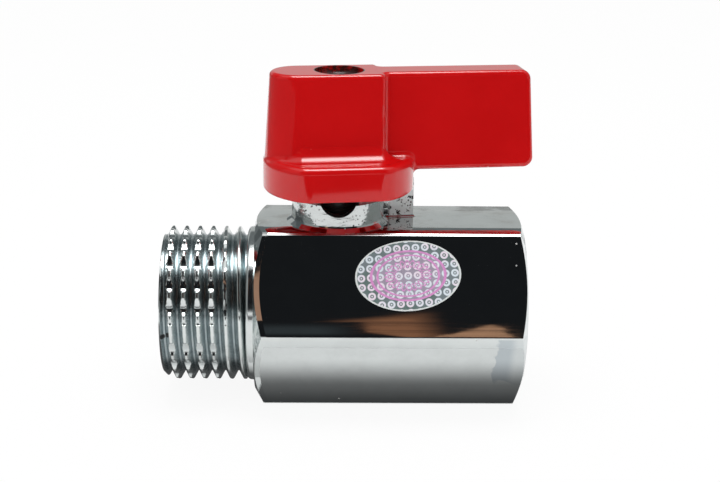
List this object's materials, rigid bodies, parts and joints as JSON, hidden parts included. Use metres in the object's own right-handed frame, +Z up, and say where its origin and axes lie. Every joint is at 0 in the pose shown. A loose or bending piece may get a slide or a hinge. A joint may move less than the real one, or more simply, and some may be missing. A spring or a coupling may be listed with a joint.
{
  "type": "isolating ball valve",
  "caption": "Compact isolating ball valve with a chromed hexagon body, a male threaded end, a female threaded port and a red lever that turns a bored ball to open or shut the flow.",
  "frame": {"origin": "foot of the stem axis on the lower flat of the hexagon, the flat it stands on", "axes": "+X along the pipe axis out of the female port, +Z up the stem axis, the pipe axis 12 mm above the origin"},
  "size_m": [0.0496, 0.0276, 0.0443],
  "materials": {
    "chrome_body": "bright chrome plating on brass",
    "chrome_nipple": "bright chrome plating on a cut thread",
    "chrome_ball": "polished chrome plating on brass",
    "seat_plastic": "waxy white PTFE",
    "stem_brass": "turned brass",
    "seal_rubber": "black rubber",
    "red_paint": "gloss red stove paint on a die casting",
    "screw_steel": "bright zinc plating",
    "label_foil": "iridescent foil with a plain lattice"
  },
  "bodies": {
    "valve_body": {"body": "chrome_body", "end_nipple": "chrome_nipple", "seat_inlet": "seat_plastic", "seat_outlet": "seat_plastic", "stem_washer": "seat_plastic", "label": "label_foil"},
    "lever_and_stem": {"handle": "red_paint", "handle_screw": "screw_steel", "stem": "stem_brass", "stem_o_ring_lower": "seal_rubber", "stem_o_ring_upper": "seal_rubber"},
    "bored_ball": {"ball": "chrome_ball"}
  },
  "joints": [
    {"name": "lever_turn", "type": "hinge", "parent": "valve_body", "child": "lever_and_stem", "pos_m": [0, 0, 0.03], "axis": [0, 0, -1], "range_deg": [0, 97.5]},
    {"name": "ball_turn", "type": "hinge", "parent": "valve_body", "child": "bored_ball", "pos_m": [0, 0, 0.012], "axis": [0, 0, -1], "range_deg": [0, 97.5]}
  ],
  "couplings": [
    {"joint": "ball_turn", "follows": "lever_turn", "ratio": 1}
  ]
}
